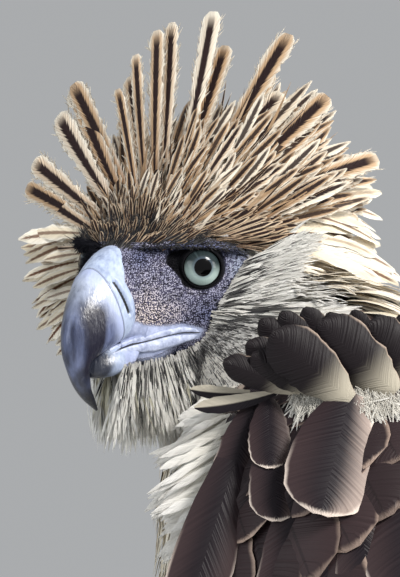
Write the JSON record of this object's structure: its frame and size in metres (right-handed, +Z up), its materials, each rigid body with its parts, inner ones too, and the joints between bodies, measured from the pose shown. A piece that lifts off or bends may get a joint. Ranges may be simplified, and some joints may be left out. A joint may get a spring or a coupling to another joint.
{
  "type": "Philippine eagle",
  "caption": "Life-size Philippine eagle standing on both feet, head turned to its left, crest raised.",
  "frame": {"origin": "centre of the bounding box at the floor, under the feet and tail", "axes": "+Z up, the body faces -Y and the bird's left side is +X"},
  "size_m": [0.2566, 0.6498, 0.8069],
  "materials": {
    "crest_feathers": "matte",
    "white_feathers": "matte",
    "dark_feathers": "satin",
    "bill_horn": "satin",
    "eye": "gloss",
    "leg_scales": "satin",
    "claw_horn": "satin"
  },
  "bodies": {
    "root": {"head": "crest_feathers", "neck": "white_feathers", "torso": "dark_feathers", "tail": "dark_feathers", "bill_upper": "bill_horn", "bill_lower": "bill_horn", "eye_left": "eye", "eye_right": "eye", "wing_left": "dark_feathers", "thigh_left": "white_feathers", "shank_left": "leg_scales", "foot_left": "leg_scales", "claw_inner_left": "claw_horn", "claw_middle_left": "claw_horn", "claw_outer_left": "claw_horn", "claw_hind_left": "claw_horn", "wing_right": "dark_feathers", "thigh_right": "white_feathers", "shank_right": "leg_scales", "foot_right": "leg_scales", "claw_inner_right": "claw_horn", "claw_middle_right": "claw_horn", "claw_outer_right": "claw_horn", "claw_hind_right": "claw_horn"}
  },
  "joints": []
}
